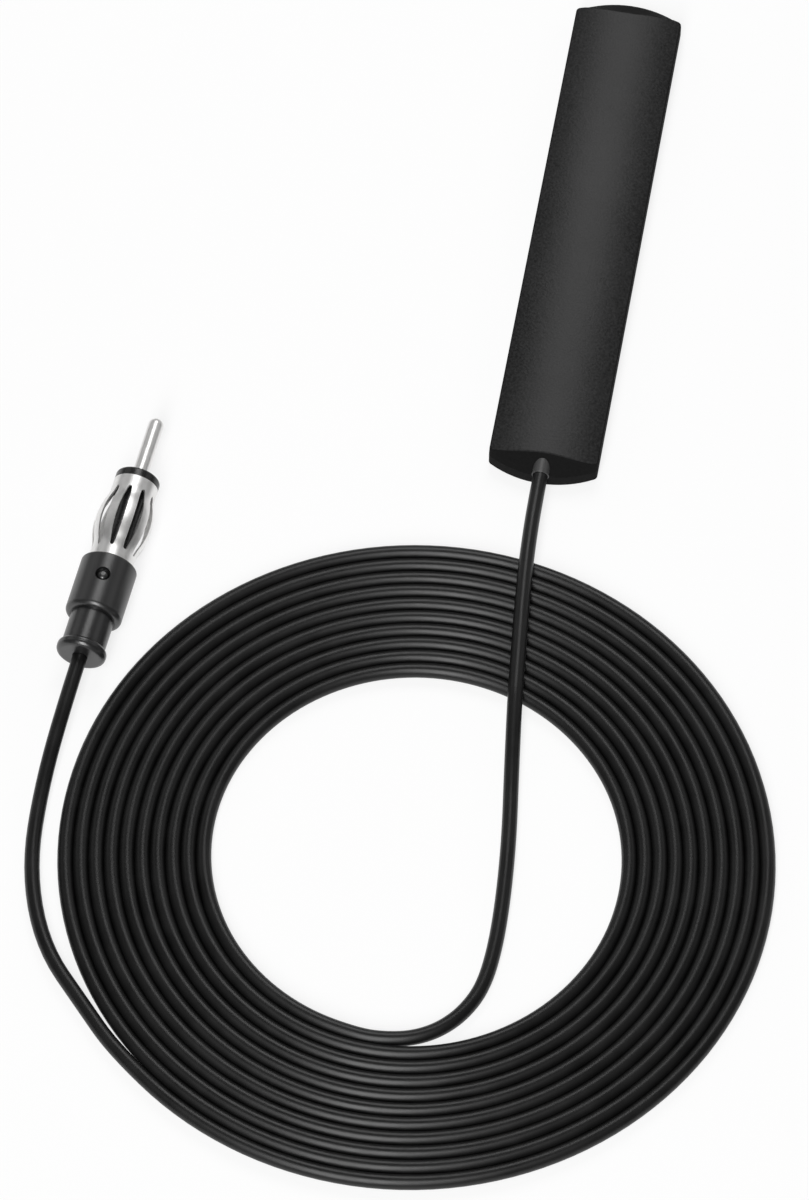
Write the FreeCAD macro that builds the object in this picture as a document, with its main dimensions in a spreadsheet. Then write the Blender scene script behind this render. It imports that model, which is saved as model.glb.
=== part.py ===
"""Glass-mount car radio aerial: a flat bar, its coiled lead and the aerial plug.

Millimetres, +Z up. The origin is the middle of the bar's adhesive face, +Y runs along the
bar, and the lead leaves at the -Y end. Bar, coil and plug lie on the plane Z = 0.
"""
import FreeCAD, Part
import Sketcher
import math
import os

# Driving dimensions: millimetres and degrees
SIZES = {
    # bar housing
    "body_width": 22.0,
    "body_length": 116.0,
    "end_bow": 3.1,
    "crease_setback": 0.8,
    "corner_radius": 1.0,
    "cover_height": 5.8,
    "skirt_height": 2.8,
    "crown_rise": 1.4,
    "cover_roof": 1.0,
    "side_wall": 1.6,
    "end_wall": 2.0,
    "edge_round": 0.4,
    "plate_thickness": 1.2,
    "plate_lip": 0.9,
    "plate_gap": 0.1,
    "pad_thickness": 0.8,
    "pad_inset": 1.2,
    # circuit board and what is on it
    "board_width": 15.0,
    "board_thickness": 0.8,
    "board_gap": 2.6,
    "board_end_gap": 6.1,
    "post_height": 0.3,
    "post_diameter": 3.2,
    "post_inset": 1.8,
    "peg_diameter": 1.6,
    "peg_gap": 0.1,
    "peg_proud": 0.4,
    "copper_thickness": 0.1,
    "trace_width": 1.2,
    "trace_span": 9.8,
    "trace_pitch": 3.6,
    "trace_folds": 9,
    "chip_gap": 0.8,
    "feed_width": 3.0,
    "feed_length": 7.0,
    "feed_start": 2.8,
    "ground_width": 3.8,
    "ground_gap": 0.8,
    "chip_length": 2.0,
    "chip_width": 1.25,
    "chip_height": 0.9,
    "solder_radius": 1.2,
    "solder_height": 1.6,
    # lead
    "cable_diameter": 3.0,
    "cable_gap": 0.05,
    "insulation_diameter": 1.4,
    "core_diameter": 0.6,
    "braid_diameter": 0.7,
    "braid_side": 3.2,
    "sleeve_wall": 0.2,
    "sleeve_clear": 0.35,
    "sleeve_inside": 2.0,
    "sleeve_overhang": 0.2,
    "jacket_bare": 1.5,
    "stripped_length": 4.1,
    "core_length": 3.4,
    # coil
    "coil_x": -10.5,
    "coil_y": -145.5,
    "coil_radius": 39.8,
    "coil_start_angle": 265.0,
    "coil_end_angle": 226.0,
    "turn_pitch": 3.0,
    "whole_turns": 10,
    # aerial plug
    "plug_x": -82.0,
    "plug_y": -115.6,
    "plug_heading": 85.3,
    "plug_roll": 3.0,
    "slot_roll": -2.0,
    "pin_diameter": 3.1,
    "pin_length": 14.1,
    "pin_shank_diameter": 2.4,
    "pin_collar_diameter": 4.4,
    "pin_collar_length": 1.0,
    "pin_tail": 5.0,
    "pin_gap": 0.05,
    "insulator_diameter": 9.0,
    "insulator_ring": 1.9,
    "insulator_spigot": 2.4,
    "insulator_round": 0.6,
    "insulator_tail_wall": 0.75,
    "insulator_tail_gap": 0.3,
    "spigot_gap": 0.05,
    "barrel_diameter": 9.0,
    "barrel_length": 19.1,
    "barrel_wall": 0.4,
    "barrel_neck": 2.4,
    "barrel_seat": 3.2,
    "bulge_diameter": 11.4,
    "flare_radius": 7.0,
    "slot_count": 10,
    "slot_length": 14.0,
    "slot_width": 0.8,
    "slot_flare": 0.45,
    "slot_end": 0.35,
    "shell_diameter": 11.4,
    "shell_length": 12.3,
    "shell_gap": 0.05,
    "shell_flat": 0.15,
    "shell_lip": 0.5,
    "latch_diameter": 3.0,
    "latch_setback": 5.0,
    "latch_gap": 0.3,
    "latch_sunk": 0.25,
    "latch_dome_share": 0.9,
    "boot_diameter": 8.7,
    "boot_neck": 6.7,
    "flange_diameter": 10.0,
    "flange_length": 2.2,
    "flange_round": 1.0,
    "cable_depth": 10.0,
    "ferrule_diameter": 5.0,
    "ferrule_flange": 2.0,
    "cup_depth": 2.5,
    "pin_tail_diameter": 2.6,
}

# Heights and places that follow from the driving dimensions
PLACES = {
    "half_width": "sizes.body_width / 2",
    "corner_half": "sizes.body_length / 2 - sizes.end_bow",
    "crease_half": "places.corner_half - sizes.crease_setback",
    "bow_radius": "(places.half_width^2 + sizes.end_bow^2) / (2 * sizes.end_bow)",
    "bow_centre": "sizes.body_length / 2 - places.bow_radius",
    "bow_reach": "places.bow_radius / (places.bow_radius - sizes.corner_radius)",
    "round_across": "places.half_width - sizes.corner_radius",
    "round_along": "sqrt((places.bow_radius - sizes.corner_radius)^2 - places.round_across^2)",
    "side_half": "places.bow_centre + places.round_along",
    "bow_half_width": "places.round_across * places.bow_reach",
    "bow_start": "places.bow_centre + places.round_along * places.bow_reach",
    "foot_chord": "(places.half_width - places.bow_half_width)^2 + (places.bow_start - places.side_half)^2",
    "foot_round": "sizes.corner_radius - sqrt(sizes.corner_radius^2 - places.foot_chord / 4)",
    "crown_round": "sizes.corner_radius * (1 - sqrt(0.5))",
    "skirt_top": "sizes.pad_thickness + sizes.skirt_height",
    "crown_top": "sizes.pad_thickness + sizes.cover_height",
    "crown_side": "places.crown_top - sizes.crown_rise",
    "cavity_half_width": "places.half_width - sizes.side_wall",
    "cavity_half": "places.crease_half - sizes.end_wall",
    "cavity_top": "places.crown_top - sizes.cover_roof",
    "cavity_rise": "sizes.crown_rise * (places.cavity_half_width / places.half_width)^2",
    "plate_top": "sizes.pad_thickness + sizes.plate_thickness",
    "board_bottom": "places.plate_top + sizes.post_height",
    "board_top": "places.board_bottom + sizes.board_thickness",
    "copper_top": "places.board_top + sizes.copper_thickness",
    "cable_radius": "sizes.cable_diameter / 2",
    "sleeve_bore": "places.cable_radius + sizes.cable_gap",
    "sleeve_radius": "places.sleeve_bore + sizes.sleeve_wall",
    "cable_height": "places.plate_top + sizes.sleeve_clear + places.sleeve_radius",
    "sleeve_end": "places.cavity_half - sizes.sleeve_inside",
    "sleeve_length": "sizes.body_length / 2 + sizes.sleeve_overhang - places.sleeve_end",
    "jacket_end": "sizes.jacket_bare - places.sleeve_end",
    "core_end": "places.jacket_end + sizes.stripped_length + sizes.core_length",
    "board_start": "places.jacket_end + sizes.board_gap",
    "board_far": "places.cavity_half - sizes.board_end_gap",
    "post_across": "sizes.board_width / 2 - sizes.post_inset",
    "post_near": "places.board_start + sizes.post_inset",
    "post_far": "places.board_far - sizes.post_inset",
    "feed_near": "places.board_start + sizes.feed_start",
    "feed_far": "places.feed_near + sizes.feed_length",
    "trace_near": "places.feed_far + sizes.chip_gap + sizes.trace_width / 2",
    "trace_out": "(sizes.trace_span + sizes.trace_width) / 2",
    "trace_in": "(sizes.trace_span - sizes.trace_width) / 2",
    "ground_near": "-sizes.feed_width / 2 - sizes.ground_gap",
    "ground_far": "places.ground_near - sizes.ground_width",
    "solder_middle": "places.core_end - sizes.solder_radius / 2",
    "plug_height": "max(sizes.bulge_diameter; sizes.shell_diameter) / 2",
    "neck_top": "sizes.flange_length + sizes.boot_neck",
    "shell_top": "places.neck_top + sizes.shell_length",
    "barrel_foot": "places.shell_top - sizes.barrel_seat",
    "barrel_top": "places.shell_top + sizes.barrel_length",
    "ring_top": "places.barrel_top + sizes.insulator_ring",
    "plug_length": "places.ring_top + sizes.pin_length",
    "barrel_radius": "sizes.barrel_diameter / 2",
    "barrel_bore": "places.barrel_radius - sizes.barrel_wall",
    "barrel_rise": "(sizes.bulge_diameter - sizes.barrel_diameter) / 2",
    "bulge_foot": "places.shell_top + sizes.barrel_neck",
    "bulge_top": "places.barrel_top - sizes.barrel_neck",
    "bulge_middle": "(places.bulge_foot + places.bulge_top) / 2",
    "bulge_half": "(places.bulge_top - places.bulge_foot) / 2",
    "bulge_slope": "places.barrel_rise / places.bulge_half",
    "bulge_sine": "2 * places.bulge_slope / (1 + places.bulge_slope^2)",
    "bulge_lift": "places.bulge_sine * places.bulge_slope",
    "flare_run": "sizes.flare_radius * places.bulge_sine",
    "flare_rise": "sizes.flare_radius * places.bulge_lift",
    "flare_bow": "sizes.flare_radius * (1 - 1 / sqrt(1 + places.bulge_slope^2))",
    "crest_bow": "places.barrel_rise - places.flare_rise",
    "slot_foot": "places.bulge_middle - sizes.slot_length / 2 + sizes.slot_end",
    "slot_top": "places.bulge_middle + sizes.slot_length / 2 - sizes.slot_end",
    "spigot_radius": "places.barrel_bore - sizes.spigot_gap",
    "shell_bore": "places.barrel_radius + sizes.shell_gap",
    "shell_round": "sizes.shell_diameter / 2 - places.shell_bore - sizes.shell_flat",
    "latch_height": "places.shell_top - sizes.latch_setback",
    "insulator_foot": "places.barrel_top - sizes.insulator_spigot",
    "collar_foot": "places.insulator_foot - sizes.pin_collar_length",
    "pin_foot": "places.collar_foot - sizes.pin_tail",
    "ferrule_top": "places.shell_top + sizes.ferrule_flange",
    "collar_bore": "sizes.pin_collar_diameter / 2 + sizes.pin_gap",
    "tail_radius": "places.collar_bore + sizes.insulator_tail_wall",
    "tail_foot": "places.ferrule_top + sizes.insulator_tail_gap",
    "cup_top": "places.pin_foot + sizes.cup_depth",
    "latch_root": "places.barrel_radius - sizes.latch_sunk",
    "latch_crown": "sizes.shell_diameter / 2 - sizes.latch_sunk",
    "latch_rise": "places.latch_crown - places.barrel_radius",
    "latch_radius": "sizes.latch_diameter / 2 - sizes.latch_gap",
    "latch_dome": "min(places.latch_rise; places.latch_radius) * sizes.latch_dome_share",
    "insulation_bore": "sizes.insulation_diameter / 2 + sizes.cable_gap",
    "ferrule_bore": "sizes.ferrule_diameter / 2 + sizes.spigot_gap",
}

# The lead's points between the bar and the coil's innermost turn
LEAD_POINTS = [
    (0.0, -65.0, 4.1),
    (0.6, -81.0, 7.8),
    (3.6, -109.5, 7.8),
    (6.2, -131.0, 1.5),
    (8.0, -149.0, 1.5),
    (8.6, -162.0, 1.5),
    (7.8, -170.9, 1.5),
    (5.2, -176.9, 1.5),
    (1.4, -181.3, 1.5),
    (-3.3, -184.1, 1.5),
]

# The lead's points between the coil's outermost turn and the plug
TAIL_POINTS = [
    (-77.1, -177.2, 1.5),
    (-83.1, -161.1, 1.5),
    (-84.2, -143.0, 1.9),
]

# The lead's straight runs: into the coil, out of the coil and into the plug
LEAD_RUN = 5.4
TAIL_RUN = 11.0
PLUG_RUN = 9.0

ARC_SHARE = 0.45
LEAD_TUCK = 0.3
CUT_MARGIN = 1.0
EDGE_MATCH = 1e-4

doc = FreeCAD.newDocument("car_radio_aerial")
sizes = doc.addObject("Spreadsheet::Sheet", "sizes")
places = doc.addObject("Spreadsheet::Sheet", "places")


def fill_sheet(sheet, rows):
    """Write each name and its number or formula on a row of a sheet."""
    for row, (name, content) in enumerate(rows.items(), start=1):
        sheet.set(f"A{row}", name)
        sheet.set(f"B{row}", str(content))
        sheet.setAlias(f"B{row}", name)


fill_sheet(sizes, SIZES)
fill_sheet(places, {name: "=" + formula.replace("places.", "") for name, formula in PLACES.items()})
doc.recompute()


def number(expression):
    """Give the present value of an expression on the sheets."""
    return float(sizes.evalExpression(str(expression)))


def new_body(label):
    """Start a sub-part that is made from sketches."""
    body = doc.addObject("PartDesign::Body", label)
    body.Label = label
    return body


def new_sketch(body, name, plane, offset=None):
    """Put a sketch on one of the body's own planes, raised along its normal by an expression."""
    sketch = body.newObject("Sketcher::SketchObject", name)
    support = [feature for feature in body.Origin.OriginFeatures if feature.Role == plane]
    sketch.AttachmentSupport = [(support[0], "")]
    sketch.MapMode = "FlatFace"
    if offset is not None:
        sketch.setExpression("AttachmentOffset.Base.z", offset)
    return sketch


def pin_point(sketch, edge, end, across, along):
    """Hold one end of a sketch edge at the distances that two expressions give."""
    for kind, axis, expression in (("DistanceX", -2, across), ("DistanceY", -1, along)):
        if expression == "0":
            sketch.addConstraint(Sketcher.Constraint("PointOnObject", edge, end, axis))
            continue
        constraint = Sketcher.Constraint(kind, -1, 1, edge, end, number(expression))
        index = sketch.addConstraint(constraint)
        sketch.setExpression(f"Constraints[{index}]", expression)


def add_loop(sketch, corners):
    """Draw a closed outline, anticlockwise.

    A corner is (across, along), or (across, along, rise) where the edge that starts there is
    an arc standing out by rise.
    """
    spots = [FreeCAD.Vector(number(corner[0]), number(corner[1]), 0) for corner in corners]
    edges = []
    for index, corner in enumerate(corners):
        start = spots[index]
        stop = spots[(index + 1) % len(corners)]
        if len(corner) == 2:
            edge = sketch.addGeometry(Part.LineSegment(start, stop), False)
            edges.append((edge, 1, 2))
            continue
        chord = stop - start
        outward = FreeCAD.Vector(chord.y, -chord.x, 0).normalize()
        middle = (start + stop) * 0.5 + outward * number(corner[2])
        edge = sketch.addGeometry(Part.Arc(start, middle, stop), False)
        forward = (sketch.getPoint(edge, 1) - start).Length < (sketch.getPoint(edge, 2) - start).Length
        edges.append((edge, 1, 2) if forward else (edge, 2, 1))
    for index, corner in enumerate(corners):
        edge, first, last = edges[index]
        after, after_first, _ = edges[(index + 1) % len(corners)]
        sketch.addConstraint(Sketcher.Constraint("Coincident", edge, last, after, after_first))
        pin_point(sketch, edge, first, corner[0], corner[1])
    for index, corner in enumerate(corners):
        if len(corner) == 3:
            bind_radius(sketch, edges[index][0], corner, corners[(index + 1) % len(corners)])


def bind_radius(sketch, edge, corner, following):
    """Tie an arc's radius to its chord and its rise: (chord^2 / 4 + rise^2) / (2 rise)."""
    across = f"(({following[0]}) - ({corner[0]}))^2"
    along = f"(({following[1]}) - ({corner[1]}))^2"
    radius = f"(({across} + {along}) / 4 + ({corner[2]})^2) / (2 * abs({corner[2]}))"
    index = sketch.addConstraint(Sketcher.Constraint("Radius", edge, number(radius)))
    sketch.setExpression(f"Constraints[{index}]", radius)


def add_circle(sketch, across, along, radius):
    """Draw a circle whose centre and radius follow expressions."""
    centre = FreeCAD.Vector(number(across), number(along), 0)
    circle = Part.Circle(centre, FreeCAD.Vector(0, 0, 1), number(radius))
    edge = sketch.addGeometry(circle, False)
    pin_point(sketch, edge, 3, across, along)
    index = sketch.addConstraint(Sketcher.Constraint("Radius", edge, number(radius)))
    sketch.setExpression(f"Constraints[{index}]", radius)


def extrude(body, kind, name, sketch, length, symmetric=False, backward=False):
    """Pad or pocket a sketch by an expression, on one side or on both."""
    feature = body.newObject(f"PartDesign::{kind}", name)
    feature.Profile = sketch
    feature.SideType = "Symmetric" if symmetric else "One side"
    feature.Reversed = backward
    feature.setExpression("Length", length)
    doc.recompute()
    return feature


def revolve(body, name, profile):
    """Turn a closed (radius, height) profile round the body's Z axis."""
    sketch = new_sketch(body, f"{name}_profile", "XZ_Plane")
    add_loop(sketch, profile)
    feature = body.newObject("PartDesign::Revolution", name)
    feature.Profile = sketch
    feature.ReferenceAxis = (sketch, ["V_Axis"])
    feature.Angle = 360
    doc.recompute()
    return feature


def round_edges(body, name, base, radius, chosen):
    """Fillet the edges of a feature that a test picks, by an expression."""
    names = [f"Edge{index}" for index, edge in enumerate(base.Shape.Edges, start=1) if chosen(edge)]
    fillet = body.newObject("PartDesign::Fillet", name)
    fillet.Base = (base, names)
    fillet.setExpression("Radius", radius)
    doc.recompute()
    return fillet


def repeat_round(body, name, feature, count):
    """Repeat a feature evenly round the body's Z axis."""
    pattern = body.newObject("PartDesign::PolarPattern", name)
    pattern.Originals = [feature]
    pattern.Axis = (feature.Profile[0], ["V_Axis"])
    pattern.Angle = 360
    pattern.setExpression("Occurrences", count)
    body.Tip = pattern
    doc.recompute()
    return pattern


def box_outline(left, right, near, far):
    """Give the corners of a rectangle."""
    return [(left, near), (right, near), (right, far), (left, far)]


def bowed_outline(half_width, half_length, bow):
    """Give the corners of a bar whose two ends stand out as arcs."""
    return [
        (f"-({half_width})", f"-({half_length})", bow),
        (half_width, f"-({half_length})"),
        (half_width, half_length, bow),
        (f"-({half_width})", half_length),
    ]


def upright(edge):
    """Test whether an edge climbs from one level to another."""
    return edge.BoundBox.ZLength > EDGE_MATCH


def make_adhesive_pad():
    """Foam pad that holds the bar to the glass."""
    body = new_body("adhesive_pad")
    sketch = new_sketch(body, "pad_outline", "XY_Plane")
    inset_width = "places.half_width - sizes.pad_inset"
    inset_length = "places.corner_half - sizes.pad_inset"
    add_loop(sketch, bowed_outline(inset_width, inset_length, "sizes.end_bow"))
    pad = extrude(body, "Pad", "pad_block", sketch, "sizes.pad_thickness")
    round_edges(body, "pad_corners", pad, "sizes.corner_radius", upright)
    return body


def rounded_outline(half_width, side_half, end_half_width, end_half, corner_rise, end_rise=None):
    """Give the corners of a bar with rounded corners and straight or bowed ends."""
    end = () if end_rise is None else (end_rise,)
    return [
        (f"-({end_half_width})", f"-({end_half})") + end,
        (end_half_width, f"-({end_half})", corner_rise),
        (half_width, f"-({side_half})"),
        (half_width, side_half, corner_rise),
        (end_half_width, end_half) + end,
        (f"-({end_half_width})", end_half, corner_rise),
        (f"-({half_width})", side_half),
        (f"-({half_width})", f"-({side_half})", corner_rise),
    ]


def make_front_cover():
    """Moulded cover: crowned across, with ends sloping from a straight crease to a bowed skirt."""
    body = new_body("front_cover")
    skirt = []
    for name, height in (("foot_outline", "sizes.pad_thickness"), ("skirt_outline", "places.skirt_top")):
        outline = new_sketch(body, name, "XY_Plane", height)
        add_loop(outline, rounded_outline("places.half_width", "places.side_half", "places.bow_half_width",
                                          "places.bow_start", "places.foot_round",
                                          "sizes.body_length / 2 - places.bow_start"))
        skirt.append(outline)
    crown = new_sketch(body, "crown_outline", "XY_Plane", "places.crown_top")
    add_loop(crown, rounded_outline("places.half_width", "places.crease_half - sizes.corner_radius",
                                    "places.half_width - sizes.corner_radius", "places.crease_half",
                                    "places.crown_round"))
    loft = body.newObject("PartDesign::AdditiveLoft", "cover_block")
    loft.Profile = skirt[0]
    loft.Sections = [skirt[1], crown]
    loft.Ruled = True
    doc.recompute()

    above = new_sketch(body, "crown_section", "XZ_Plane")
    add_loop(above, [
        (f"-places.half_width - {CUT_MARGIN}", "places.crown_side"),
        ("-places.half_width", "places.crown_side", "-sizes.crown_rise"),
        ("places.half_width", "places.crown_side"),
        (f"places.half_width + {CUT_MARGIN}", "places.crown_side"),
        (f"places.half_width + {CUT_MARGIN}", f"places.crown_top + {CUT_MARGIN}"),
        (f"-places.half_width - {CUT_MARGIN}", f"places.crown_top + {CUT_MARGIN}"),
    ])
    crowned = extrude(body, "Pocket", "crown_cut", above, "sizes.body_length", symmetric=True)
    roof = max(crowned.Shape.Faces, key=lambda face: face.BoundBox.ZMin)
    rim = [edge.hashCode() for edge in roof.Edges]
    round_edges(body, "crown_edges", crowned, "sizes.edge_round", lambda edge: edge.hashCode() in rim)

    inside = new_sketch(body, "cavity_section", "XZ_Plane")
    add_loop(inside, [
        ("-places.cavity_half_width", "sizes.pad_thickness"),
        ("places.cavity_half_width", "sizes.pad_thickness"),
        ("places.cavity_half_width", "places.cavity_top - places.cavity_rise", "places.cavity_rise"),
        ("-places.cavity_half_width", "places.cavity_top - places.cavity_rise"),
    ])
    extrude(body, "Pocket", "cavity", inside, "2 * places.cavity_half", symmetric=True)

    seat = new_sketch(body, "plate_seat_outline", "XY_Plane", "sizes.pad_thickness")
    seat_width = "(places.half_width - sizes.plate_lip)"
    seat_length = "(places.corner_half - sizes.plate_lip)"
    add_loop(seat, box_outline(f"-{seat_width}", seat_width, f"-{seat_length}", seat_length))
    extrude(body, "Pocket", "plate_seat", seat, "sizes.plate_thickness", backward=True)

    hole = new_sketch(body, "lead_hole_outline", "XZ_Plane", "-places.jacket_end - sizes.cable_gap")
    add_circle(hole, "0", "places.cable_height", "places.sleeve_radius + sizes.cable_gap")
    extrude(body, "Pocket", "lead_hole", hole, "sizes.body_length", backward=True)
    return body


def post_spots():
    """Give the four places where the plate carries the board."""
    return [(side + "places.post_across", end) for side in ("", "-")
            for end in ("places.post_near", "places.post_far")]


def make_back_plate():
    """Plate that closes the cover, with four posts and pegs for the board."""
    body = new_body("back_plate")
    outline = new_sketch(body, "plate_outline", "XY_Plane", "sizes.pad_thickness")
    width = "(places.half_width - sizes.plate_lip - sizes.plate_gap)"
    length = "(places.corner_half - sizes.plate_lip - sizes.plate_gap)"
    add_loop(outline, box_outline(f"-{width}", width, f"-{length}", length))
    extrude(body, "Pad", "plate", outline, "sizes.plate_thickness")
    posts = new_sketch(body, "post_outlines", "XY_Plane", "places.plate_top")
    pegs = new_sketch(body, "peg_outlines", "XY_Plane", "places.board_bottom")
    for across, along in post_spots():
        add_circle(posts, across, along, "sizes.post_diameter / 2")
        add_circle(pegs, across, along, "sizes.peg_diameter / 2")
    extrude(body, "Pad", "posts", posts, "sizes.post_height")
    extrude(body, "Pad", "pegs", pegs, "sizes.board_thickness + sizes.peg_proud")
    return body


def make_circuit_board():
    """Board that carries the folded aerial track, drilled for the plate's pegs."""
    body = new_body("circuit_board")
    outline = new_sketch(body, "board_outline", "XY_Plane", "places.board_bottom")
    add_loop(outline, box_outline("-sizes.board_width / 2", "sizes.board_width / 2",
                                  "places.board_start", "places.board_far"))
    for across, along in post_spots():
        add_circle(outline, across, along, "sizes.peg_diameter / 2 + sizes.peg_gap")
    extrude(body, "Pad", "board", outline, "sizes.board_thickness")
    return body


def make_antenna_trace():
    """Copper track folded to and fro along the board."""
    body = new_body("antenna_trace")
    fold = new_sketch(body, "fold_outline", "XY_Plane", "places.board_top")
    half = "sizes.trace_width / 2"
    first = "places.trace_near"
    second = "places.trace_near + sizes.trace_pitch"
    third = "places.trace_near + 2 * sizes.trace_pitch"
    add_loop(fold, [
        ("-places.trace_out", f"{first} - {half}"),
        ("places.trace_out", f"{first} - {half}"),
        ("places.trace_out", f"{second} + {half}"),
        ("-places.trace_in", f"{second} + {half}"),
        ("-places.trace_in", f"{third} - {half}"),
        ("-places.trace_out", f"{third} - {half}"),
        ("-places.trace_out", f"{second} - {half}"),
        ("places.trace_in", f"{second} - {half}"),
        ("places.trace_in", f"{first} + {half}"),
        ("-places.trace_out", f"{first} + {half}"),
    ])
    strip = extrude(body, "Pad", "fold", fold, "sizes.copper_thickness")
    pattern = body.newObject("PartDesign::LinearPattern", "folds")
    pattern.Originals = [strip]
    pattern.Direction = (fold, ["V_Axis"])
    pattern.setExpression("Occurrences", "sizes.trace_folds")
    pattern.setExpression("Length", "2 * sizes.trace_pitch * (sizes.trace_folds - 1)")
    body.Tip = pattern
    doc.recompute()
    return body


def make_block(label, left, near, foot, width, depth, height):
    """Make a plain block from expressions for its corner and its sides."""
    block = doc.addObject("Part::Box", label)
    block.Label = label
    bound = {"Length": width, "Width": depth, "Height": height,
             "Placement.Base.x": left, "Placement.Base.y": near, "Placement.Base.z": foot}
    for name, expression in bound.items():
        block.setExpression(name, expression)
    return block


def make_feed_pad():
    """Copper pad under the lead's core."""
    return make_block("feed_pad", "-sizes.feed_width / 2", "places.feed_near", "places.board_top",
                      "sizes.feed_width", "sizes.feed_length", "sizes.copper_thickness")


def make_ground_pad():
    """Copper pad under the lead's braid."""
    return make_block("ground_pad", "places.ground_far", "places.feed_near", "places.board_top",
                      "sizes.ground_width", "sizes.feed_length", "sizes.copper_thickness")


def make_chip_inductor():
    """Loading inductor between the feed pad and the folded track."""
    near = "places.feed_far + sizes.chip_gap / 2 - sizes.chip_length / 2"
    return make_block("chip_inductor", "-sizes.chip_width / 2", near, "places.copper_top",
                      "sizes.chip_width", "sizes.chip_length", "sizes.chip_height")


def make_chip_capacitor():
    """Matching capacitor between the feed pad and the ground pad."""
    left = "places.ground_near + sizes.ground_gap / 2 - sizes.chip_length / 2"
    return make_block("chip_capacitor", left, "places.feed_far - 2 * sizes.chip_width", "places.copper_top",
                      "sizes.chip_length", "sizes.chip_width", "sizes.chip_height")


def make_lead_sleeve():
    """Short strain-relief sleeve round the lead in the bar's sloping end."""
    body = new_body("lead_sleeve")
    revolve(body, "sleeve", [
        ("places.sleeve_bore", "0"),
        ("places.sleeve_radius", "0"),
        ("places.sleeve_radius", "places.sleeve_length - sizes.sleeve_wall / 2"),
        ("places.sleeve_radius - sizes.sleeve_wall / 2", "places.sleeve_length"),
        ("places.sleeve_bore", "places.sleeve_length"),
    ])
    body.Placement.Rotation = FreeCAD.Rotation(FreeCAD.Vector(1, 0, 0), 90)
    body.setExpression("Placement.Base.y", "-places.sleeve_end")
    body.setExpression("Placement.Base.z", "places.cable_height")
    return body


def make_wire(label, near, diameter, length):
    """Make a straight round wire on the lead's axis, along the bar."""
    wire = doc.addObject("Part::Cylinder", label)
    wire.Label = label
    wire.setExpression("Radius", f"{diameter} / 2")
    wire.setExpression("Height", length)
    wire.Placement.Rotation = FreeCAD.Rotation(FreeCAD.Vector(1, 0, 0), -90)
    wire.setExpression("Placement.Base.y", near)
    wire.setExpression("Placement.Base.z", "places.cable_height")
    return wire


def make_lead_insulation():
    """Inner insulation of the lead, bared over the board."""
    return make_wire("lead_insulation", "places.jacket_end", "sizes.insulation_diameter",
                     "sizes.stripped_length")


def make_lead_core():
    """Core of the lead, soldered to the feed pad."""
    return make_wire("lead_core", "places.jacket_end + sizes.stripped_length", "sizes.core_diameter",
                     "sizes.core_length")


def make_lead_braid():
    """Screen of the lead, twisted to a tail and led down to the ground pad."""
    body = new_body("lead_braid")
    root = new_sketch(body, "braid_root", "XZ_Plane", "-places.jacket_end")
    root_side = "-(sizes.insulation_diameter + sizes.braid_diameter) / 2 - sizes.cable_gap"
    add_circle(root, root_side, "places.cable_height", "sizes.braid_diameter / 2")
    tip = new_sketch(body, "braid_tip", "XZ_Plane", "-places.core_end")
    add_circle(tip, "-sizes.braid_side", "places.copper_top + sizes.braid_diameter / 2",
               "sizes.braid_diameter / 2")
    tail = body.newObject("PartDesign::AdditiveLoft", "braid_tail")
    tail.Profile = root
    tail.Sections = [tip]
    tail.Ruled = True
    doc.recompute()
    return body


def make_solder_joints(core, braid):
    """Two solder joints, one round the core's end and one round the braid's."""
    joints = []
    for name, across, wire in (("core_solder", "0", core), ("braid_solder", "-sizes.braid_side", braid)):
        drop = doc.addObject("Part::Cone", f"{name}_drop")
        bound = {"Radius1": "sizes.solder_radius", "Radius2": "sizes.solder_radius / 2",
                 "Height": "sizes.solder_height", "Placement.Base.x": across,
                 "Placement.Base.y": "places.solder_middle", "Placement.Base.z": "places.copper_top"}
        for key, expression in bound.items():
            drop.setExpression(key, expression)
        joint = doc.addObject("Part::Cut", name)
        joint.Base = drop
        joint.Tool = wire
        joints.append(joint)
    group = doc.addObject("Part::Compound", "solder_joints")
    group.Label = "solder_joints"
    group.Links = joints
    return group


def plug_direction():
    """Give the way the plug points, from its boot to the tip of its pin."""
    heading = math.radians(number("sizes.plug_heading"))
    return FreeCAD.Vector(math.cos(heading), math.sin(heading), 0)


def plug_spot(along):
    """Give the point of the plug's axis at a height above the boot's end."""
    foot = FreeCAD.Vector(number("sizes.plug_x"), number("sizes.plug_y"), number("places.plug_height"))
    return foot + plug_direction() * along


def lay_on_plug(piece, along="0", roll="0"):
    """Turn a piece that stands on Z to lie along the plug's axis, front side up."""
    lying = FreeCAD.Rotation(FreeCAD.Vector(1, 0, 0), -90)
    heading = FreeCAD.Rotation(FreeCAD.Vector(0, 0, 1), number("sizes.plug_heading") - 90)
    rolled = FreeCAD.Rotation(FreeCAD.Vector(0, 0, 1), number(roll))
    piece.Placement = FreeCAD.Placement(plug_spot(number(along)), heading * lying * rolled)
    return piece


def make_plug_pin():
    """Turned centre pin with a round tip, a collar and a solder cup for the core."""
    body = new_body("plug_pin")
    cup = "sizes.core_diameter / 2 + sizes.pin_gap"
    tail = "sizes.pin_tail_diameter / 2"
    shank = "sizes.pin_shank_diameter / 2"
    radius = "sizes.pin_diameter / 2"
    revolve(body, "pin", [
        (cup, "places.pin_foot"),
        (tail, "places.pin_foot"),
        (tail, "places.collar_foot"),
        ("sizes.pin_collar_diameter / 2", "places.collar_foot"),
        ("sizes.pin_collar_diameter / 2", "places.insulator_foot"),
        (shank, "places.insulator_foot"),
        (shank, "places.ring_top"),
        (radius, "places.ring_top"),
        (radius, f"places.plug_length - {radius}", f"{radius} * (1 - sqrt(0.5))"),
        ("0", "places.plug_length"),
        ("0", "places.cup_top"),
        (cup, "places.cup_top"),
    ])
    return lay_on_plug(body)


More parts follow.
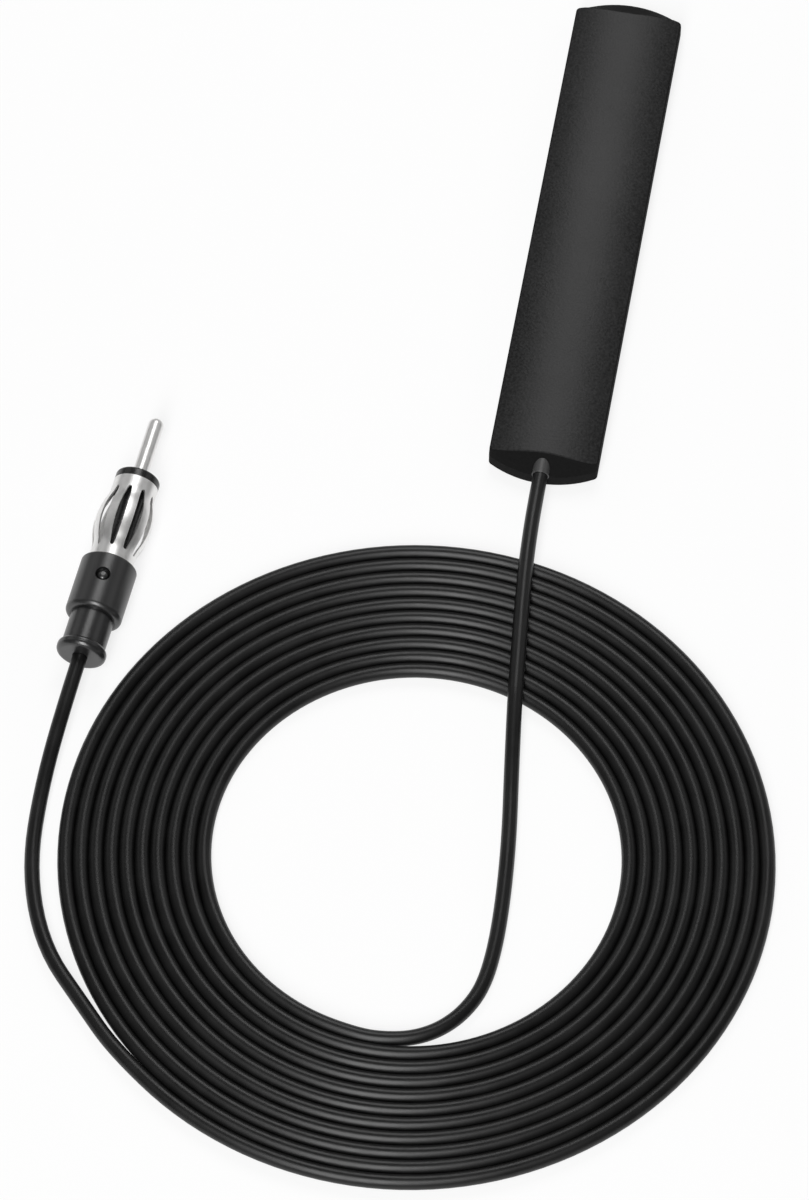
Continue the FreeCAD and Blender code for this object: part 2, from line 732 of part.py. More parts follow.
def make_pin_insulator():
    """Insulating bush between pin and barrel: a rounded ring in front, a tube round the pin's tail."""
    body = new_body("pin_insulator")
    bore = "sizes.pin_shank_diameter / 2 + sizes.pin_gap"
    ring = "sizes.insulator_diameter / 2"
    edge = "sizes.insulator_round"
    revolve(body, "bush", [
        ("places.collar_bore", "places.tail_foot"),
        ("places.tail_radius", "places.tail_foot"),
        ("places.tail_radius", "places.insulator_foot"),
        ("places.spigot_radius", "places.insulator_foot"),
        ("places.spigot_radius", "places.barrel_top"),
        (ring, "places.barrel_top"),
        (ring, f"places.ring_top - {edge}", f"{edge} * (1 - sqrt(0.5))"),
        (f"{ring} - {edge}", "places.ring_top"),
        (bore, "places.ring_top"),
        (bore, "places.insulator_foot"),
        ("places.collar_bore", "places.insulator_foot"),
    ])
    return lay_on_plug(body)


def make_spring_barrel():
    """Sprung contact barrel: a thin bulging tube slit into leaves between two whole necks."""
    body = new_body("spring_barrel")
    crest_foot = "places.bulge_foot + places.flare_run"
    crest_top = "places.bulge_top - places.flare_run"
    revolve(body, "tube", [
        ("places.barrel_bore", "places.barrel_foot"),
        ("places.barrel_radius", "places.barrel_foot"),
        ("places.barrel_radius", "places.bulge_foot", "-places.flare_bow"),
        ("places.barrel_radius + places.flare_rise", crest_foot, "places.crest_bow"),
        ("places.barrel_radius + places.flare_rise", crest_top, "-places.flare_bow"),
        ("places.barrel_radius", "places.bulge_top"),
        ("places.barrel_radius", "places.barrel_top"),
        ("places.barrel_bore", "places.barrel_top"),
        ("places.barrel_bore", "places.bulge_top", "places.flare_bow"),
        ("places.barrel_bore + places.flare_rise", crest_top, "-places.crest_bow"),
        ("places.barrel_bore + places.flare_rise", crest_foot, "places.flare_bow"),
        ("places.barrel_bore", "places.bulge_foot"),
    ])
    outline = new_sketch(body, "slit_outline", "XZ_Plane")
    half = "sizes.slot_width / 2"
    add_loop(outline, [
        (half, "places.slot_foot", "sizes.slot_flare"),
        (half, "places.slot_top", "sizes.slot_end"),
        (f"-{half}", "places.slot_top", "sizes.slot_flare"),
        (f"-{half}", "places.slot_foot", "sizes.slot_end"),
    ])
    slit = extrude(body, "Pocket", "slit", outline, "sizes.bulge_diameter")
    repeat_round(body, "slits", slit, "sizes.slot_count")
    return lay_on_plug(body, roll="sizes.slot_roll")


def make_plug_shell():
    """Moulded shell round the barrel's foot, with a round latch window."""
    body = new_body("plug_shell")
    radius = "sizes.shell_diameter / 2"
    quarter = "(1 - sqrt(0.5))"
    revolve(body, "shell", [
        ("places.shell_bore", "places.neck_top"),
        (f"{radius} - places.shell_round", "places.neck_top", f"places.shell_round * {quarter}"),
        (radius, "places.neck_top + places.shell_round"),
        (radius, "places.shell_top - sizes.shell_lip", f"sizes.shell_lip * {quarter}"),
        (f"{radius} - sizes.shell_lip", "places.shell_top"),
        ("places.shell_bore", "places.shell_top"),
    ])
    window = new_sketch(body, "window_outline", "XZ_Plane")
    add_circle(window, "0", "places.latch_height", "sizes.latch_diameter / 2")
    extrude(body, "Pocket", "window", window, "sizes.shell_diameter", backward=True)
    return lay_on_plug(body, roll="sizes.plug_roll")


def make_plug_boot():
    """Moulded boot: beaded rear end, neck, and a front that latches into the shell."""
    body = new_body("plug_boot")
    bore = "places.sleeve_bore"
    bead = "sizes.flange_diameter / 2"
    edge = "sizes.flange_round"
    neck = "sizes.boot_diameter / 2"
    revolve(body, "boot", [
        (bore, "0"),
        (f"{bead} - {edge}", "0", f"{edge} * (1 - sqrt(0.5))"),
        (bead, edge),
        (bead, f"sizes.flange_length - {edge}", f"{edge} / 4"),
        (neck, "sizes.flange_length"),
        (neck, "places.neck_top"),
        ("places.barrel_radius", "places.neck_top"),
        ("places.barrel_radius", "places.barrel_foot"),
        ("places.spigot_radius", "places.barrel_foot"),
        ("places.spigot_radius", "places.shell_top"),
        ("places.ferrule_bore", "places.shell_top"),
        ("places.ferrule_bore", "sizes.cable_depth"),
        (bore, "sizes.cable_depth"),
    ])
    outline = new_sketch(body, "latch_outline", "XZ_Plane", "places.latch_root")
    add_circle(outline, "0", "places.latch_height", "places.latch_radius")
    latch = extrude(body, "Pad", "latch", outline, "places.latch_crown - places.latch_root")
    crown = -number("places.latch_crown")
    round_edges(body, "latch_dome", latch, "places.latch_dome",
                lambda edge: abs(edge.BoundBox.YMin - crown) + abs(edge.BoundBox.YMax - crown) < EDGE_MATCH)
    return lay_on_plug(body, roll="sizes.plug_roll")


def make_braid_ferrule():
    """Brass bush that joins the lead's screen to the barrel."""
    body = new_body("braid_ferrule")
    radius = "sizes.ferrule_diameter / 2"
    revolve(body, "bush", [
        ("places.insulation_bore", "sizes.cable_depth"),
        (radius, "sizes.cable_depth"),
        (radius, "places.shell_top"),
        ("places.spigot_radius", "places.shell_top"),
        ("places.spigot_radius", "places.ferrule_top"),
        ("places.insulation_bore", "places.ferrule_top"),
    ])
    return lay_on_plug(body)


def make_plug_wire(label, foot, diameter, top):
    """Make a straight round wire on the plug's axis."""
    wire = doc.addObject("Part::Cylinder", label)
    wire.Label = label
    wire.setExpression("Radius", f"{diameter} / 2")
    wire.setExpression("Height", f"{top} - {foot}")
    return lay_on_plug(wire, along=foot)


def make_plug_insulation():
    """Inner insulation of the lead inside the ferrule."""
    return make_plug_wire("plug_insulation", "sizes.cable_depth", "sizes.insulation_diameter",
                          "places.ferrule_top")


def make_plug_core():
    """Core of the lead, from the ferrule into the pin's cup."""
    return make_plug_wire("plug_core", "places.ferrule_top", "sizes.core_diameter", "places.cup_top")


def coil_spot(angle, radius):
    """Give a point of the coil's plane from its angle in degrees and its radius."""
    turn = math.radians(angle)
    middle = FreeCAD.Vector(number("sizes.coil_x"), number("sizes.coil_y"), 0)
    return middle + FreeCAD.Vector(math.cos(turn), math.sin(turn), 0) * radius


def coil_heading(angle):
    """Give the way the clockwise turns run at an angle in degrees."""
    turn = math.radians(angle)
    return FreeCAD.Vector(math.sin(turn), -math.cos(turn), 0)


def coil_end_radius():
    """Give the radius of the lead's axis where it leaves the outermost turn."""
    swept = (number("sizes.coil_start_angle") - number("sizes.coil_end_angle")) / 360
    return number("sizes.coil_radius") + number("sizes.turn_pitch") * (number("sizes.whole_turns") + swept)


def one_turn_face(angle, radius, pitch):
    """Face inside one turn of a clockwise spiral: two half circles and the step between its ends."""
    inner_end = coil_spot(angle, radius)
    far_side = coil_spot(angle + 180, radius + pitch / 2)
    outer_end = coil_spot(angle, radius + pitch)
    growing = Part.Arc(inner_end, coil_spot(angle - 90, radius + pitch / 4), far_side)
    closing = Part.Arc(far_side, coil_spot(angle + 90, radius + pitch * 3 / 4), outer_end)
    edges = [growing.toShape(), closing.toShape(), Part.LineSegment(outer_end, inner_end).toShape()]
    return Part.Face(Part.Wire(edges))


def make_cord_coil():
    """Flat coil of the lead as one plain ring, with a step where each end comes away."""
    pitch = number("sizes.turn_pitch")
    start = number("sizes.coil_radius") - pitch / 2
    outer = one_turn_face(number("sizes.coil_end_angle"), coil_end_radius() - pitch / 2, pitch)
    inner = one_turn_face(number("sizes.coil_start_angle"), start, pitch)
    ring = doc.addObject("Part::Feature", "cord_coil")
    ring.Label = "cord_coil"
    ring.Shape = outer.cut(inner).extrude(FreeCAD.Vector(0, 0, number("sizes.cable_diameter")))
    return ring


def make_tube(label, route):
    """Carry the lead's round section along straight runs joined by the largest tangent arcs."""
    spots = [FreeCAD.Vector(spot) for spot in route]
    edges = []
    radii = []
    last = spots[0]
    for before, spot, after in zip(spots, spots[1:], spots[2:]):
        arriving = spot - before
        leaving = after - spot
        reach = ARC_SHARE * min(arriving.Length, leaving.Length)
        half_turn = arriving.getAngle(leaving) / 2
        radius = reach / math.tan(half_turn)
        arriving.normalize()
        leaving.normalize()
        inward = (leaving - arriving).normalize()
        enter = spot - arriving * reach
        leave = spot + leaving * reach
        middle = spot + inward * (radius / math.cos(half_turn) - radius)
        edges.append(Part.LineSegment(last, enter).toShape())
        edges.append(Part.Arc(enter, middle, leave).toShape())
        radii.append(round(radius, 1))
        last = leave
    edges.append(Part.LineSegment(last, spots[-1]).toShape())
    path = Part.Wire(edges)
    section_radius = number("places.cable_radius")
    section = Part.Wire(Part.Circle(spots[0], spots[1] - spots[0], section_radius).toShape())
    tube = doc.addObject("Part::Feature", label)
    tube.Label = label
    tube.Shape = path.makePipeShell([section], True, False)
    plain_volume = math.pi * section_radius ** 2 * path.Length
    print(label, "length", round(path.Length, 1), "radii", radii,
          "volume share", round(tube.Shape.Volume / plain_volume, 5))
    return tube


def make_cord_lead():
    """Lead from the board through the sleeve, over the coil and down to its innermost turn."""
    floor = FreeCAD.Vector(0, 0, number("places.cable_radius"))
    angle = number("sizes.coil_start_angle")
    root = (0.0, number("places.jacket_end"), number("places.cable_height"))
    end = coil_spot(angle, number("sizes.coil_radius") - LEAD_TUCK) + floor
    before_end = end - coil_heading(angle) * LEAD_RUN
    return make_tube("cord_lead", [root] + LEAD_POINTS + [before_end, end])


def make_cord_tail():
    """Lead from the coil's outermost turn into the plug's boot."""
    floor = FreeCAD.Vector(0, 0, number("places.cable_radius"))
    angle = number("sizes.coil_end_angle")
    start = coil_spot(angle, coil_end_radius()) + floor
    after_start = start + coil_heading(angle) * TAIL_RUN
    before_plug = plug_spot(-PLUG_RUN)
    end = plug_spot(number("sizes.cable_depth"))
    return make_tube("cord_tail", [start, after_start] + TAIL_POINTS + [before_plug, end])


def make_parts():
    """Build every sub-part."""
    makers = (
        make_adhesive_pad, make_back_plate, make_front_cover, make_circuit_board, make_antenna_trace,
        make_feed_pad, make_ground_pad, make_chip_inductor, make_chip_capacitor, make_lead_sleeve,
        make_lead_insulation, make_plug_pin, make_pin_insulator, make_spring_barrel, make_plug_shell,
        make_plug_boot, make_braid_ferrule, make_plug_insulation, make_plug_core, make_cord_lead,
        make_cord_coil, make_cord_tail,
    )
    core = make_lead_core()
    braid = make_lead_braid()
    return [core, braid, make_solder_joints(core, braid)] + [maker() for maker in makers]


def check_parts(parts):
    """Stop if an object failed or a sub-part's shape is empty or broken."""
    doc.recompute()
    for item in doc.Objects:
        if "Invalid" in item.State or "Error" in item.State:
            raise RuntimeError(f"{item.Label} failed: {item.State}")
    for part in parts:
        if part.Shape.isNull() or not part.Shape.isValid() or not part.Shape.Solids:
            raise RuntimeError(f"{part.Label} has no sound solid")


def write_parts(parts):
    """Write one STEP file for each sub-part."""
    os.makedirs("parts", exist_ok=True)
    for part in parts:
        part.Shape.exportStep(f"parts/{part.Label}.step")
        box = part.Shape.optimalBoundingBox(False)
        print(part.Label, len(part.Shape.Solids), "solids", round(part.Shape.Volume, 2), "mm3", box)


made = make_parts()
check_parts(made)
write_parts(made)
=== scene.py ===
"""Studio picture of a glass-mount car radio aerial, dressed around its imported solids.

Metres and degrees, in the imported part's own frame: the origin is the middle of the bar's adhesive
face, +Y runs along the bar, and the lead leaves at the -Y end. Bar, coil and plug lie on the plane
Z = 0.
"""
from __future__ import annotations

import logging
import math
from abc import ABC, abstractmethod
from dataclasses import dataclass
from enum import Enum

import bpy
import numpy as np
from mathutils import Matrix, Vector

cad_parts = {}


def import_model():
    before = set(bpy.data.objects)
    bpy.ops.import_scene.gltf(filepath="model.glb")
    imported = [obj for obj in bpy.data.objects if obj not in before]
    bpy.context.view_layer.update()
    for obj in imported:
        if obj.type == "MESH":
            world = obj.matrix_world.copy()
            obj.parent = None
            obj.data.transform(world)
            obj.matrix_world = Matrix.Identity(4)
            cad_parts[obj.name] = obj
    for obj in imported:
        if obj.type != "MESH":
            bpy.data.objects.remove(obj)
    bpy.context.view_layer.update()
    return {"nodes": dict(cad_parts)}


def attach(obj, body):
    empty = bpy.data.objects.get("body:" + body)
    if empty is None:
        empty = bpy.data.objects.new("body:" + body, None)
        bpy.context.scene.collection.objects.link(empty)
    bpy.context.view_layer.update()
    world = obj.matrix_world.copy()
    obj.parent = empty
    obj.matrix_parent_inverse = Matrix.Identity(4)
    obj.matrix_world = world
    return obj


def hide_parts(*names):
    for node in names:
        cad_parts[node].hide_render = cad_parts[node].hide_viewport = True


LOG = logging.getLogger("car_radio_aerial")
BODY = "root"

Rgb = tuple[float, float, float]
Rgba = tuple[float, float, float, float]
Span = tuple[float, float]
Point = tuple[float, float, float]
Route = tuple[Point, ...]
Nodes = dict[str, bpy.types.Object]
Socket = bpy.types.NodeSocket
Input = Socket | float | tuple[float, ...] | Vector

MM = 0.001
FULL_TURN = 360.0
UPWARD = Vector((0.0, 0.0, 1.0))
# The whole range of a share, and the range that most of a noise keeps to
UNIT = (0.0, 1.0)
NOISE_RANGE = (0.3, 0.7)
# Period of a band texture at a scale of 1
BAND_PERIOD = 0.3
# Order of the lead's spline, and the weight of its own point at the middle of a span
SPLINE_ORDER = 3
SPLINE_MIDDLE = 0.75


class Layers(Enum):
    """How many finer layers a noise has."""

    FEW = 2.0
    SOME = 3.0
    MANY = 4.0


class Marks(Enum):
    """Which way the fine marks run on a metal surface."""

    ROUND = "round the axis"
    ALONG = "along the axis"


class Lay(Enum):
    """How a free lead lies."""

    LOOSE = "loose"
    HANGING = "hanging"
    COILED = "coiled"
    TAUT = "taut"


class FarEnd(Enum):
    """What a lead ends in."""

    PLUG = "plug"
    CONNECTOR = "connector"
    FITTING = "fitting"
    TOOL = "tool"
    KNOT = "knot"
    BARE = "bare"
    OBJECT = "object"


class Stiffness(Enum):
    """How readily a lead bends."""

    LIMP = "limp"
    MEDIUM = "medium"
    STIFF = "stiff"


def grey(level: float) -> Rgb:
    """Give a neutral colour."""
    return (level, level, level)


def opaque(colour: Rgb) -> Rgba:
    """Give a colour that nothing shows through."""
    return (*colour, 1.0)


class NodeGraph:
    """Nodes of one material around its Principled shader, read in Object coordinates."""

    def __init__(self, name: str) -> None:
        """Start a plain material.

        Args:
            name: Name of the material.
        """
        self.material = bpy.data.materials.new(name)
        self.material.use_nodes = True
        self.tree = self.material.node_tree
        self.shader = self.tree.nodes["Principled BSDF"]
        self.place = self.add("ShaderNodeTexCoord").outputs["Object"]

    def add(self, kind: str, **settings: str) -> bpy.types.Node:
        """Add a node.

        Args:
            kind: The kind of node, by its type's name.
            settings: The node's own properties.

        Returns:
            The new node.
        """
        node = self.tree.nodes.new(kind)
        for key, value in settings.items():
            setattr(node, key, value)
        return node

    def feed(self, node: bpy.types.Node, inputs: dict[str | int, Input]) -> bpy.types.Node:
        """Set or link a node's inputs.

        Args:
            node: The node that takes them.
            inputs: A fixed value or another node's output for each input, by its name or its place.

        Returns:
            The same node.
        """
        for key, value in inputs.items():
            if isinstance(value, Socket):
                self.tree.links.new(value, node.inputs[key])
            else:
                node.inputs[key].default_value = value
        return node

    def noise(self, size: float, layers: Layers = Layers.FEW, along: Socket | None = None) -> Socket:
        """Give cloudy noise from 0 to 1.

        Args:
            size: Size of one cloud.
            layers: How many finer layers it has.
            along: A height to vary along, where the noise isn't the same in all directions.

        Returns:
            The noise.
        """
        node = self.add("ShaderNodeTexNoise", noise_dimensions="3D" if along is None else "1D")
        where = {"Vector": self.place} if along is None else {"W": along}
        return self.feed(node, {"Scale": 1.0 / size, "Detail": layers.value, **where}).outputs["Fac"]

    def cells(self, size: float) -> Socket:
        """Give the distance from the middle of random cells of one size."""
        node = self.add("ShaderNodeTexVoronoi")
        return self.feed(node, {"Vector": self.place, "Scale": 1.0 / size}).outputs["Distance"]

    def bands(self, axis: str, width: float, waver: float) -> Socket:
        """Give soft bands from 0 to 1.

        Args:
            axis: X or Y, the way that they follow each other.
            width: Width of one band.
            waver: How far they bend.

        Returns:
            The bands.
        """
        node = self.add("ShaderNodeTexWave", bands_direction=axis)
        inputs = {"Vector": self.place, "Scale": BAND_PERIOD / width, "Distortion": waver}
        return self.feed(node, inputs).outputs["Fac"]

    def reckon(self, operation: str, first: Input, second: Input) -> Socket:
        """Join two numbers by one operation."""
        node = self.add("ShaderNodeMath", operation=operation)
        return self.feed(node, {0: first, 1: second}).outputs["Value"]

    def reach(self, vector: Socket, direction: Vector) -> Socket:
        """Give how far a vector reaches along a direction."""
        node = self.add("ShaderNodeVectorMath", operation="DOT_PRODUCT")
        return self.feed(node, {0: vector, 1: direction}).outputs["Value"]

    def height(self, direction: Vector) -> Socket:
        """Give the distance along a direction."""
        return self.reach(self.place, direction)

    def facing(self, direction: Vector) -> Socket:
        """Give how far the surface looks along a direction, from -1 to 1."""
        return self.reach(self.add("ShaderNodeNewGeometry").outputs["Normal"], direction)

    def blend(self, share: Input, low: Input, high: Input) -> Socket:
        """Give a number between two.

        The node's places 0, 2 and 3 are the share and the two numbers.

        Args:
            share: How much of the second number there is, from 0 to 1.
            low: The first number.
            high: The second number.

        Returns:
            The number.
        """
        node = self.add("ShaderNodeMix", data_type="FLOAT")
        return self.feed(node, {0: share, 2: low, 3: high}).outputs[0]

    def mix(self, share: Socket, low: Socket, high: Socket) -> Socket:
        """Give a colour between two.

        Args:
            share: How much of the second colour there is, from 0 to 1.
            low: The first colour.
            high: The second colour.

        Returns:
            The colour.
        """
        node = self.add("ShaderNodeMixRGB")
        return self.feed(node, {"Fac": share, "Color1": low, "Color2": high}).outputs["Color"]

    def spread(self, value: Socket, result: Span, source: Span = NOISE_RANGE) -> Socket:
        """Carry a value's useful range over to another range.

        Args:
            value: The value.
            result: Lowest and highest result.
            source: The value's range that they stand for.

        Returns:
            The result, kept inside its range.
        """
        node = self.add("ShaderNodeMapRange")
        self.feed(node, {"Value": value, "From Min": source[0], "From Max": source[1],
                         "To Min": result[0], "To Max": result[1]})
        return node.outputs["Result"]

    def tint(self, value: Socket, low: Rgb, high: Rgb, source: Span = NOISE_RANGE) -> Socket:
        """Give a colour between two by a value.

        Args:
            value: The value.
            low: Colour at the low end.
            high: Colour at the high end.
            source: The value's range that they stand for.

        Returns:
            The colour.
        """
        ramp = self.feed(self.add("ShaderNodeValToRGB"), {"Fac": value})
        stops = ramp.color_ramp.elements
        for stop, position, colour in zip(stops, source, (low, high)):
            stop.position = position
            stop.color = opaque(colour)
        return ramp.outputs["Color"]

    def mottle(self, grain: Socket, cloud: float, cloud_share: float) -> Socket:
        """Give a shade from 0 to 1: a grain with larger clouds laid over it.

        Args:
            grain: The grain's noise.
            cloud: Size of one cloud.
            cloud_share: How much of the shade the clouds make up.

        Returns:
            The shade.
        """
        clouds = self.noise(cloud, Layers.SOME)
        return self.blend(cloud_share, self.spread(grain, UNIT), self.spread(clouds, UNIT))

    def bump(self, height: Socket, depth: float, strength: Input = 1.0) -> Socket:
        """Turn a height from 0 to 1 into a surface relief.

        Args:
            height: The height.
            depth: How deep its whole range is.
            strength: Share of the relief that shows.

        Returns:
            The relief's normal.
        """
        node = self.add("ShaderNodeBump")
        inputs = {"Height": height, "Distance": depth, "Strength": strength}
        return self.feed(node, inputs).outputs["Normal"]

    def finish(self, inputs: dict[str | int, Input]) -> bpy.types.Material:
        """Set the shader's inputs and hand over the material."""
        self.feed(self.shader, inputs)
        return self.material


@dataclass(frozen=True)
class Finish(ABC):
    """The finish of a surface, known by its material's name."""

    name: str

    @abstractmethod
    def material(self) -> bpy.types.Material:
        """Make the material."""


@dataclass(frozen=True)
class MouldedPlastic(Finish):
    """Moulded plastic or rubber: a fine eroded grain with faint clouds of shade over it."""

    dark: Rgb
    light: Rgb
    roughness: Span
    grain: float
    grain_depth: float
    cloud: float = 9 * MM
    cloud_share: float = 0.3
    specular: float = 0.5

    def material(self) -> bpy.types.Material:
        """Make the material.

        Returns:
            The material.
        """
        graph = NodeGraph(self.name)
        grain = graph.noise(self.grain, Layers.SOME)
        shade = graph.mottle(grain, self.cloud, self.cloud_share)
        return graph.finish({
            "Base Color": graph.tint(shade, self.dark, self.light, UNIT),
            "Roughness": graph.spread(grain, self.roughness),
            "Specular IOR Level": self.specular,
            "Normal": graph.bump(grain, self.grain_depth),
        })


@dataclass(frozen=True)
class GrainedCover(Finish):
    """Moulded cover: eroded grain on the faces that look up, plain on the ends and sides, which get a
    darker colour as painted shade.
    """

    face_dark: Rgb
    face_light: Rgb
    # Colours of the ends and sides: darker copies of the face's colour, as painted shade
    side_dark: Rgb
    side_light: Rgb
    roughness: Span
    side_roughness: float
    grain: float
    grain_depth: float
    specular: float
    cloud: float = 14 * MM
    cloud_share: float = 0.25
    face_from: Span = (0.86, 0.94)
    relief: Span = (0.15, 1.0)

    def material(self) -> bpy.types.Material:
        """Make the material.

        Returns:
            The material.
        """
        graph = NodeGraph(self.name)
        grain = graph.noise(self.grain, Layers.SOME)
        shade = graph.mottle(grain, self.cloud, self.cloud_share)
        upward = graph.spread(graph.facing(UPWARD), UNIT, self.face_from)
        face = graph.tint(shade, self.face_dark, self.face_light, UNIT)
        # Painted shade: the ends and sides take the darker copy of the colour
        shaded_side = graph.tint(shade, self.side_dark, self.side_light, UNIT)
        eroded = graph.spread(grain, self.roughness)
        return graph.finish({
            "Base Color": graph.mix(upward, shaded_side, face),
            "Roughness": graph.blend(upward, self.side_roughness, eroded),
            "Specular IOR Level": self.specular,
            "Normal": graph.bump(grain, self.grain_depth, graph.spread(upward, self.relief, UNIT)),
        })


@dataclass(frozen=True)
class CableJacket(Finish):
    """Drawn cable jacket: smooth and dark, with a faint orange peel and cloudy gloss."""

    dark: Rgb
    light: Rgb
    roughness: Span
    specular: float
    peel: float = 0.5 * MM
    peel_depth: float = 0.004 * MM
    cloud: float = 6 * MM

    def material(self) -> bpy.types.Material:
        """Make the material.

        Returns:
            The material.
        """
        graph = NodeGraph(self.name)
        clouds = graph.noise(self.cloud, Layers.SOME)
        return graph.finish({
            "Base Color": graph.tint(clouds, self.dark, self.light),
            "Roughness": graph.spread(clouds, self.roughness),
            "Specular IOR Level": self.specular,
            "Normal": graph.bump(graph.noise(self.peel), self.peel_depth),
        })


@dataclass(frozen=True)
class PlatedMetal(Finish):
    """Bare or plated metal: fine marks round or along an axis, and faint dulling."""

    dull: Rgb
    bright: Rgb
    roughness: Span
    marks: Marks
    axis: Point
    mark_size: float = 0.08 * MM
    mark_depth: float = 0.0015 * MM
    cloud: float = 1.6 * MM

    def material(self) -> bpy.types.Material:
        """Make the material.

        Returns:
            The material.
        """
        graph = NodeGraph(self.name)
        way = Vector(self.axis)
        if self.marks is Marks.ALONG:
            way = way.orthogonal().normalized()
        marks = graph.noise(self.mark_size, Layers.SOME, graph.height(way))
        clouds = graph.noise(self.cloud, Layers.MANY)
        return graph.finish({
            "Base Color": graph.tint(clouds, self.dull, self.bright),
            "Metallic": 1.0,
            "Roughness": graph.spread(marks, self.roughness),
            "Normal": graph.bump(marks, self.mark_depth),
        })


@dataclass(frozen=True)
class CellFoam(Finish):
    """Foam tape: fine open cells, dull all over."""

    dark: Rgb
    light: Rgb
    roughness: float
    cell: float
    cell_depth: float
    cell_range: Span = (0.1, 0.8)

    def material(self) -> bpy.types.Material:
        """Make the material.

        Returns:
            The material.
        """
        graph = NodeGraph(self.name)
        cells = graph.cells(self.cell)
        return graph.finish({
            "Base Color": graph.tint(cells, self.light, self.dark, self.cell_range),
            "Roughness": self.roughness,
            "Normal": graph.bump(cells, self.cell_depth),
        })


@dataclass(frozen=True)
class WovenLaminate(Finish):
    """Lacquered board: glass weave under a clear coloured lacquer."""

    dark: Rgb
    light: Rgb
    roughness: float
    thread: float
    waver: float = 0.6
    lacquer: float = 0.6
    lacquer_roughness: float = 0.12

    def material(self) -> bpy.types.Material:
        """Make the material.

        Returns:
            The material.
        """
        graph = NodeGraph(self.name)
        warp, weft = (graph.bands(axis, self.thread, self.waver) for axis in "XY")
        weave = graph.reckon("MULTIPLY", warp, weft)
        return graph.finish({
            "Base Color": graph.tint(weave, self.dark, self.light, UNIT),
            "Roughness": self.roughness,
            "Coat Weight": self.lacquer,
            "Coat Roughness": self.lacquer_roughness,
        })


PLUG_HEADING = math.radians(85.3)
PLUG_AXIS = (math.cos(PLUG_HEADING), math.sin(PLUG_HEADING), 0.0)
BAR_AXIS = (0.0, 1.0, 0.0)

# The cover's ends and sides are coloured darker as painted shade
COVER_BLACK = GrainedCover(
    "cover_black", face_dark=grey(0.003), face_light=(0.022, 0.022, 0.0223),
    side_dark=grey(0.005), side_light=grey(0.008), roughness=(0.31, 0.39), side_roughness=1.0,
    grain=0.5 * MM, grain_depth=0.03 * MM, specular=0.18,
)
PLATE_BLACK = MouldedPlastic(
    "plate_black", dark=grey(0.014), light=grey(0.026), roughness=(0.40, 0.52),
    grain=0.5 * MM, grain_depth=0.01 * MM,
)
SLEEVE_RUBBER = MouldedPlastic(
    "sleeve_rubber", dark=grey(0.035), light=grey(0.06), roughness=(0.40, 0.5),
    grain=0.3 * MM, grain_depth=0.008 * MM,
)
SHELL_GREY = MouldedPlastic(
    "shell_grey", dark=(0.006, 0.006, 0.0062), light=(0.011, 0.011, 0.0113), roughness=(0.32, 0.38),
    grain=0.25 * MM, grain_depth=0.005 * MM, cloud=3 * MM, specular=0.9,
)
BOOT_GREY = MouldedPlastic(
    "boot_grey", dark=(0.006, 0.006, 0.0062), light=(0.012, 0.012, 0.0123), roughness=(0.28, 0.34),
    grain=0.25 * MM, grain_depth=0.004 * MM, cloud=3 * MM, specular=0.85,
)
INSULATOR_BLACK = MouldedPlastic(
    "insulator_black", dark=grey(0.006), light=grey(0.012), roughness=(0.22, 0.3),
    grain=0.3 * MM, grain_depth=0.003 * MM, cloud=3 * MM,
)
CHIP_FERRITE = MouldedPlastic(
    "chip_ferrite", dark=(0.05, 0.05, 0.055), light=(0.09, 0.09, 0.1), roughness=(0.5, 0.6),
    grain=0.1 * MM, grain_depth=0.01 * MM, cloud=1 * MM,
)
CHIP_TAN = MouldedPlastic(
    "chip_tan", dark=(0.42, 0.31, 0.19), light=(0.58, 0.45, 0.3), roughness=(0.4, 0.5),
    grain=0.1 * MM, grain_depth=0.005 * MM, cloud=1 * MM,
)
MILKY_WHITE = MouldedPlastic(
    "milky_white", dark=(0.72, 0.72, 0.67), light=(0.85, 0.85, 0.8), roughness=(0.3, 0.4),
    grain=0.3 * MM, grain_depth=0.004 * MM, cloud=2 * MM,
)
JACKET_BLACK = CableJacket(
    "jacket_black", dark=grey(0.003), light=grey(0.006), roughness=(0.36, 0.42), specular=0.38,
)
PIN_NICKEL = PlatedMetal(
    "pin_nickel", dull=(0.78, 0.775, 0.765), bright=(0.86, 0.855, 0.845), roughness=(0.38, 0.42),
    marks=Marks.ROUND, axis=PLUG_AXIS, mark_size=0.3 * MM, mark_depth=0.0002 * MM,
)
BARREL_NICKEL = PlatedMetal(
    "barrel_nickel", dull=(0.78, 0.775, 0.765), bright=(0.87, 0.865, 0.855), roughness=(0.37, 0.43),
    marks=Marks.ALONG, axis=PLUG_AXIS, mark_size=0.2 * MM, mark_depth=0.0005 * MM,
)
FERRULE_BRASS = PlatedMetal(
    "ferrule_brass", dull=(0.52, 0.38, 0.16), bright=(0.68, 0.52, 0.25), roughness=(0.2, 0.32),
    marks=Marks.ROUND, axis=PLUG_AXIS,
)
CORE_TIN = PlatedMetal(
    "core_tin", dull=grey(0.45), bright=grey(0.62), roughness=(0.25, 0.38),
    marks=Marks.ALONG, axis=BAR_AXIS,
)
TRACK_COPPER = PlatedMetal(
    "track_copper", dull=(0.56, 0.27, 0.13), bright=(0.74, 0.4, 0.22), roughness=(0.28, 0.4),
    marks=Marks.ALONG, axis=BAR_AXIS, mark_size=0.2 * MM,
)
BRAID_TIN = PlatedMetal(
    "braid_tin", dull=grey(0.48), bright=grey(0.68), roughness=(0.25, 0.42),
    marks=Marks.ROUND, axis=BAR_AXIS, mark_size=0.25 * MM, mark_depth=0.03 * MM,
)
SOLDER_TIN = PlatedMetal(
    "solder_tin", dull=(0.6, 0.6, 0.61), bright=(0.76, 0.76, 0.77), roughness=(0.14, 0.28),
    marks=Marks.ROUND, axis=BAR_AXIS, mark_size=0.5 * MM,
)
TAPE_FOAM = CellFoam(
    "tape_foam", dark=grey(0.012), light=grey(0.035), roughness=0.85,
    cell=0.18 * MM, cell_depth=0.05 * MM,
)
